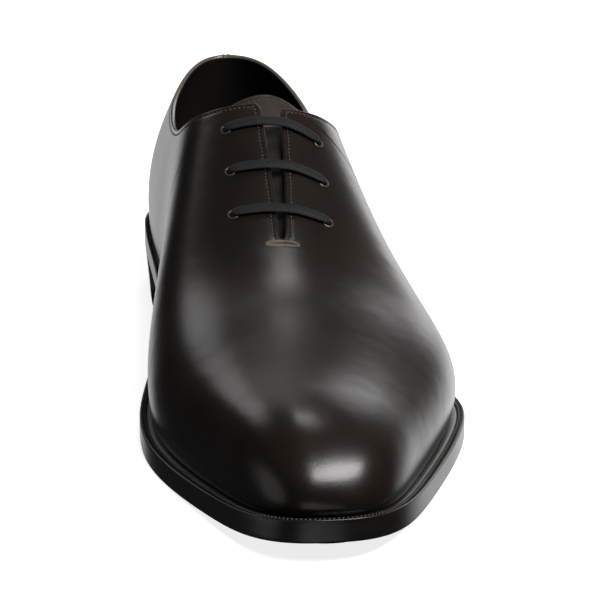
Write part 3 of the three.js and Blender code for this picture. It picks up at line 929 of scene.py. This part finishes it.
lace_width = 4 * MM
lace_thickness = 1.4 * MM
lace_gathered = 1.35 * MM
ride_height = gap + lace_thickness / 2
under_depth = tongue["pocket"] / 2
lace_sides, lace_steps = 20, 9
tangent_step = 0.02
lace_tail = 0.02
beside_holes = 4.6 * MM
BAR_RISE = ((-0.7, 0, 0), (-0.1, 0, 0.1), (0.75, lace_thickness / 2, 0.35))
BAR_SPAN = ((1, 0.8), (0.6, 1.0), (0.25, 1.0))
HIDDEN_RUN = (0.2, 0.5, 0.8)
RETURN_START = 0.08
RETURN_RUN = (0.25, 0.5, 0.75, 0.95)


def between(row, side, distance):
    """Frame on the slanted line between a row's two holes, at a distance from the crest."""
    return surface_frame(lace_share(row, side * distance / lace_rows["half_spacing"]), side, distance)


def bar_half(row, side):
    """Half of a bar, from inside its hole to near the middle: centre, width direction, openness."""
    hole = between(row, side, lace_rows["half_spacing"])
    over = lace_rows["half_spacing"] - lace_hole - lace_thickness / 2
    stops = []
    for up, aside, openness in BAR_RISE:
        centre, forward, inward, outward = hole
        height = up * (upper_wall if up < 0 else ride_height)
        stops.append((centre + outward * height + inward * aside, forward, openness))
    for part, openness in BAR_SPAN:
        centre, forward, inward, outward = between(row, side, part * over)
        stops.append((centre + outward * ride_height, forward, openness))
    return stops


def under_run(share, side, distance, openness=0.9):
    """Place of the lace under the facings, between them and the tongue."""
    centre, forward, inward, outward = surface_frame(share, side, distance, 0)
    return centre - outward * under_depth, inward, openness


def lace_stops():
    """Every place that the lace passes, from one hidden end to the other."""
    far = lace_rows["half_spacing"]
    wide = far + beside_holes
    stops = [under_run(lace_share(0, MEDIAL) + lace_tail, MEDIAL, far, 0.8)]
    for row, first, second in ((0, MEDIAL, LATERAL), (1, LATERAL, MEDIAL), (2, MEDIAL, LATERAL)):
        stops.extend(bar_half(row, first))
        stops.extend(reversed(bar_half(row, second)))
        if row + 1 < lace_rows["count"]:
            start, end = lace_share(row, second), lace_share(row + 1, second)
            stops.extend(under_run(mix(start, end, t), second, far) for t in HIDDEN_RUN)
    low, high = lace_share(2, LATERAL), lace_share(0, LATERAL)
    stops.append(under_run(mix(low, high, RETURN_START), LATERAL, mix(far, wide, 0.5)))
    stops.extend(under_run(mix(low, high, t), LATERAL, wide) for t in RETURN_RUN)
    return stops


def catmull(points, k, t):
    """Point on the smooth curve through the points, at t of the way from point k to the next."""
    a, b, c, d = (points[clamp(k + i, 0, len(points) - 1)] for i in (-1, 0, 1, 2))
    slope, bend, twist = c - a, 2 * a - 5 * b + 4 * c - d, 3 * b - a - 3 * c + d
    return 0.5 * (2 * b + slope * t + bend * t * t + twist * t**3)


def braided_cotton(name):
    """Waxed cotton: a tight herringbone braid, black, drawn a little coarse so that it shows."""
    strand, bands_in_metre = 0.85 * MM, 3.1
    sockets = {"Roughness": 0.65, "IOR": 1.5, "Specular IOR Level": 0.3}
    material, tree, shader, _ = new_finish(name, sockets)
    run = add_node(tree, "UVMap", uv_map="run").outputs["UV"]
    strands = []
    for lean in (40, -40):
        turned = add_node(tree, "Mapping", {"Vector": run, "Rotation": (0, 0, math.radians(lean))})
        links = {"Vector": turned.outputs[0], "Scale": 1 / strand / bands_in_metre, "Distortion": 0.0}
        bands = {"wave_type": "BANDS", "bands_direction": "X", "wave_profile": "SIN"}
        wave = add_node(tree, "TexWave", links, **bands)
        strands.append(wave.outputs["Fac"])
    braid = add_node(tree, "Math", {0: strands[0], 1: strands[1]}, operation="MULTIPLY").outputs[0]
    blend_colours(tree, shader, braid, "060606", "1E1C1A")
    add_relief(tree, shader, (braid, 0.12 * MM))
    return material


stops = lace_stops()
centres = [stop[0] for stop in stops]
widths = [stop[1] for stop in stops]
lace_rings, travelled = [], [0.0]
last_centre = None
for k in range(len(stops) - 1):
    for t in spread(lace_steps)[:-1]:
        centre = catmull(centres, k, t)
        tangent = catmull(centres, k, t + tangent_step) - catmull(centres, k, t - tangent_step)
        tangent.normalize()
        wide = widths[k].lerp(widths[k + 1], t)
        wide = (wide - tangent * wide.dot(tangent)).normalized()
        normal = tangent.cross(wide)
        open_share = mix(stops[k][2], stops[k + 1][2], t)
        half = mix(lace_gathered, lace_width / 2, open_share)
        thick = mix(lace_gathered, lace_thickness / 2, clamp(open_share * 2))
        lace_rings.append([
            centre + wide * half * math.cos(2 * math.pi * a) + normal * thick * math.sin(2 * math.pi * a)
            for a in spread(lace_sides)
        ])
        if last_centre:
            travelled.append(travelled[-1] + (centre - last_centre).length)
        last_centre = centre

lace_mesh = bmesh.new()
lace_mesh.loops.layers.uv.new("run")
girth = 2 * lace_width
add_grid(lace_mesh, lace_rings, run=lambda i, j: (travelled[i], girth * j / lace_sides))
bmesh.ops.remove_doubles(lace_mesh, verts=lace_mesh.verts, dist=weld)
bmesh.ops.holes_fill(lace_mesh, edges=lace_mesh.edges, sides=0)
lace_nodes = [f"lace_bar_{row + 1}" for row in range(lace_rows["count"])]
add_piece("waxed_lace", lace_mesh, [braided_cotton("waxed_cotton")], lace_nodes)

# Insole
# A leather insole with its black sock glued on, seen through the collar. It lies inside the upper and
# the welt, and its upper edge is softened.

insole_inset = 0.5 * MM
insole_rise = 2 * MM
insole_round = 0.5 * MM
sole_columns = stations(150)


def insole_ring(share, side, inset, keep, height):
    """Point on the insole's outline, drawn in by the inset, or towards the middle line by keep."""
    point = last_point(share, side, 0, -insole_inset - inset)
    middle = ball_width * section(share)["swing"]
    along = heel_middle - point.y
    return Vector((mix(middle, point.x, keep), point.y, height(along)))


def add_slab(bm, columns, point, profile, run=None):
    """Closed slab: the profile is gone through on the inner side and back on the outer side."""
    rows = [[point(share, MEDIAL, *stop) for share in columns] for stop in profile]
    rows += [[point(share, LATERAL, *stop) for share in columns] for stop in reversed(profile)]
    rows.append(rows[0])
    return add_grid(bm, rows, run=run)


def insole_base(along):
    return sole_underside(along) + sole_thickness + gap


def insole_below_top(drop):
    return lambda along: feather(along) + insole_rise - drop


insole_top = insole_below_top(0)
insole_mesh = bmesh.new()
add_slab(insole_mesh, sole_columns, insole_ring, [
    (0, 0, insole_base), (0, 0.5, insole_base), (0, 1, insole_base),
    (0, 1, insole_below_top(insole_round)),
    (0.3 * insole_round, 1, insole_below_top(0.3 * insole_round)),
    (insole_round, 1, insole_top), (3 * insole_round, 1, insole_top),
    (0, 0.5, insole_top), (0, 0, insole_top),
])
add_piece("insole_sock", insole_mesh, [lining], ["insole"])

# Welt
# A strip of bend leather round the foot of the upper, dyed black and wheeled: close ridges press the
# stitches in, and a groove leaves a raised lip along the outer edge.

welt_start = -upper_wall - welt_reach["heel"]
welt_end = last_length + upper_wall + welt_reach["fore"]


def sole_ring(share, side, inset, keep, height):
    """Point on the sole's outline, drawn in by the inset, or towards the middle line by keep."""
    grow = upper_wall + welting(share) - inset
    start, end = welt_start + inset, welt_end - inset
    along = mix(start, end, share)
    half = ball_width * section(share)["medial" if side == MEDIAL else "lateral"] + grow
    half *= plan_closing(along - start, end - along, grow)
    middle = ball_width * section(share)["swing"]
    return Vector((side * half * keep + middle, heel_middle - along, height(along)))


def welt_ring(share, side, part, height):
    """Point between the upper's foot at part 0 and the sole's outline at part 1."""
    inner = last_point(share, side, 0, 0)
    outer = sole_ring(share, side, 0, 1, height)
    point = inner.lerp(outer, part)
    return Vector((point.x, point.y, height(heel_middle - point.y)))


def welt_level(rise):
    return lambda along: welt_top(along) + rise


def dyed_bend(name, deep, pale, roughness):
    """Edge-dressed sole leather: inked, waxed and ironed, with faint strokes along the edge."""
    stroke, flattened, fibre = 9 * MM, 14, 0.7 * MM
    sockets = {"Roughness": roughness, "IOR": 1.5, "Coat Weight": 0.25, "Coat Roughness": 0.22}
    material, tree, shader, place = new_finish(name, sockets)
    drawn = add_node(tree, "Mapping", {"Vector": place, "Scale": (1, 1, flattened)})
    strokes = add_node(tree, "TexNoise", {"Vector": drawn.outputs[0], "Scale": 1 / stroke, "Detail": 3.0})
    links = {"Value": strokes.outputs["Fac"], "From Min": 0.35, "From Max": 0.65}
    contrast = add_node(tree, "MapRange", links)
    blend_colours(tree, shader, contrast.outputs["Result"], deep, pale)
    fibres = add_node(tree, "TexNoise", {"Vector": place, "Scale": 1 / fibre, "Detail": 3.0})
    add_relief(tree, shader, (strokes.outputs["Fac"], 0.05 * MM), (fibres.outputs["Fac"], 0.015 * MM))
    return material


bend = dyed_bend("dressed_sole_edge", "0C0B0A", "181513", 0.36)

# The welt's cross-section: part of the way from the upper to the edge, height over its flat in mm.
WELT_PROFILE = (
    (0.0, -2.3), (0.9, -2.3), (1.0, -2.3), (1.0, -0.5), (0.992, -0.16), (0.965, 0.06), (0.93, 0.12),
    (0.89, 0.10), (0.85, 0.0), (0.81, -0.18), (0.77, -0.26), (0.68, -0.28), (0.60, -0.24), (0.54, -0.08),
    (0.48, 0.0), (0.30, 0.0), (0.0, 0.0), (0.0, -1.1), (0.0, -2.3),
)
welt_mesh = bmesh.new()
for side in (MEDIAL, LATERAL):
    rows = []
    for part, rise in WELT_PROFILE:
        rows.append([welt_ring(share, side, part, welt_level(rise * MM)) for share in sole_columns])
    add_grid(welt_mesh, rows)
add_piece("wheeled_welt", welt_mesh, [bend], ["welt"])

welt_stitches = {"pitch": 1.35 * MM, "length": 1.1 * MM, "radius": 0.42 * MM, "skew": math.radians(70)}
welt_stitch_part = 0.68
welt_stitch_sunk = 0.12 * MM
welt_samples = 500
welt_stitch_mesh = bmesh.new()
for side in (MEDIAL, LATERAL):
    sunk = welt_level(-welt_stitch_sunk)
    line = [welt_ring(share, side, welt_stitch_part, sunk) for share in stations(welt_samples)]
    normals = [Vector((0, 0, 1))] * len(line)
    add_stitches(welt_stitch_mesh, line, normals, **welt_stitches)
welt_thread = waxed_thread("welt_thread", "14110F", "3A332C")
add_piece("welt_stitching", welt_stitch_mesh, [welt_thread])

# Outsole
# Oak-bark tanned bend leather, its edge trimmed, dyed and ironed. A closed channel runs round its
# underside, over the stitches.

edge_seat = 0.28 * MM
channel = {"inset": 5.5 * MM, "half": 0.5 * MM, "depth": 0.25 * MM}


def sole_leather(name):
    """Outsole leather: hard, rolled and stained dark, with long soft patches and fine pores."""
    patch, lengthened, pore = 30 * MM, 3, 0.8 * MM
    material, tree, shader, place = new_finish(name, {"Roughness": 0.48, "IOR": 1.5})
    drawn = add_node(tree, "Mapping", {"Vector": place, "Scale": (lengthened, 1, lengthened)})
    patches = add_node(tree, "TexNoise", {"Vector": drawn.outputs[0], "Scale": 1 / patch, "Detail": 5.0})
    blend_colours(tree, shader, patches.outputs["Fac"], "15110E", "2B221B")
    pores = add_node(tree, "TexVoronoi", {"Vector": place, "Scale": 1 / pore})
    add_relief(tree, shader, (pores.outputs["Distance"], 0.03 * MM))
    return material


def lifted(rise):
    return lambda along: sole_underside(along) + rise


outsole_mesh = bmesh.new()
outsole_profile = [(0, 0, lifted(0)), (0, 0.5, lifted(0))]
for step in (1.6, 1, 0.5, 0, -0.5, -1, -1.6):
    sunk = channel["depth"] * math.exp(-(step**2) * 2)
    outsole_profile.append((channel["inset"] + step * channel["half"], 1, lifted(sunk)))
outsole_profile += [
    (1.6 * MM, 1, lifted(0)), (0.8 * MM, 1, lifted(0)), (0.3 * MM, 1, lifted(0.12 * MM)),
    (0.06 * MM, 1, lifted(0.4 * MM)), (0, 1, lifted(0.8 * MM)), (0, 1, lifted(2.4 * MM)),
    (0, 1, lifted(sole_thickness + edge_seat)), (1.5 * MM, 1, lifted(sole_thickness + edge_seat)),
    (0, 0.5, lifted(sole_thickness)), (0, 0, lifted(sole_thickness)),
]
place, faces = add_slab(outsole_mesh, sole_columns, sole_ring, outsole_profile)
bottom_rows = 11
for face in faces:
    rows = [place[vert][0] for vert in face.verts]
    if max(rows) <= bottom_rows or min(rows) >= 2 * len(outsole_profile) - 1 - bottom_rows:
        face.material_index = 1
stained = sole_leather("stained_outsole")
add_piece("leather_outsole", outsole_mesh, [bend, stained], ["outsole"])

# Heel
# Lifts of sole leather, glued, pinned and dressed as the edge is, with fine lines where they meet, and
# a rubber top piece under them.

heel_taper = 1.6 * MM
top_piece = 6 * MM
lift_count = 4
lift_line = {"depth": 0.14 * MM, "half": 0.16 * MM}
heel_seam = 0.05 * MM
along_heel = 90
breast = heel_length / (welt_end - welt_start)
heel_columns = [breast * (1 - math.cos(math.pi * t / 2)) for t in spread(along_heel)]


def heel_ring(share, side, z, sunk, keep):
    """Point of the heel at a height: the sole's outline, drawn in towards the floor."""
    inset = heel_taper * (1 - z / heel_lift) + sunk
    return sole_ring(share, side, inset, keep, lambda along: z)


def add_heel_part(bm, bottom, top, lines, soft):
    """Slab with rounded lower and upper edges and a fine groove at each joint."""
    profile = [(bottom, 0, 0), (bottom, 0, 0.5), (bottom, 3 * soft, 1), (bottom, soft, 1)]
    profile += [(bottom + 0.3 * soft, 0.3 * soft, 1), (bottom + soft, 0, 1)]
    for z in lines:
        for step, sunk in ((-2, 0), (-1, 0.3), (0, 1), (1, 0.3), (2, 0)):
            profile.append((z + step * lift_line["half"], sunk * lift_line["depth"], 1))
    profile += [(top - soft, 0, 1), (top - 0.3 * soft, 0.3 * soft, 1), (top, soft, 1)]
    profile += [(top, 3 * soft, 1), (top, 0, 0.5), (top, 0, 0)]
    add_slab(bm, heel_columns, heel_ring, profile)
    bmesh.ops.remove_doubles(bm, verts=bm.verts, dist=weld)
    bmesh.ops.holes_fill(bm, edges=bm.edges, sides=0)


def top_piece_rubber(name):
    """Moulded rubber: black, dull and a little dusty, with a fine cast skin."""
    cloud, pimple = 5 * MM, 0.5 * MM
    material, tree, shader, place = new_finish(name, {"Roughness": 0.7, "IOR": 1.52})
    dust = add_node(tree, "TexNoise", {"Vector": place, "Scale": 1 / cloud, "Detail": 4.0})
    blend_colours(tree, shader, dust.outputs["Fac"], "0B0B0B", "1A1919")
    skin = add_node(tree, "TexNoise", {"Vector": place, "Scale": 1 / pimple, "Detail": 2.0})
    add_relief(tree, shader, (skin.outputs["Fac"], 0.05 * MM))
    return material


block_mesh = bmesh.new()
block_bottom, block_top = top_piece + heel_seam, heel_lift - heel_seam
joints = [mix(block_bottom, block_top, k / lift_count) for k in range(1, lift_count)]
add_heel_part(block_mesh, block_bottom, block_top, joints, 0.15 * MM)
add_piece("stacked_heel", block_mesh, [bend], ["heel_block"])

tread_mesh = bmesh.new()
add_heel_part(tread_mesh, 0, top_piece, [], 0.35 * MM)
rubber = top_piece_rubber("heel_rubber_skin")
add_piece("rubber_top_piece", tread_mesh, [rubber], ["heel_top_piece"])

# Size
# The finished shoe's box is kept beside the frame's, which shows how far the dressing stands out.

boxes = {"cad": cad_box, "visual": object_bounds()}
{name: [list(corner) for corner in box] for name, box in boxes.items()}
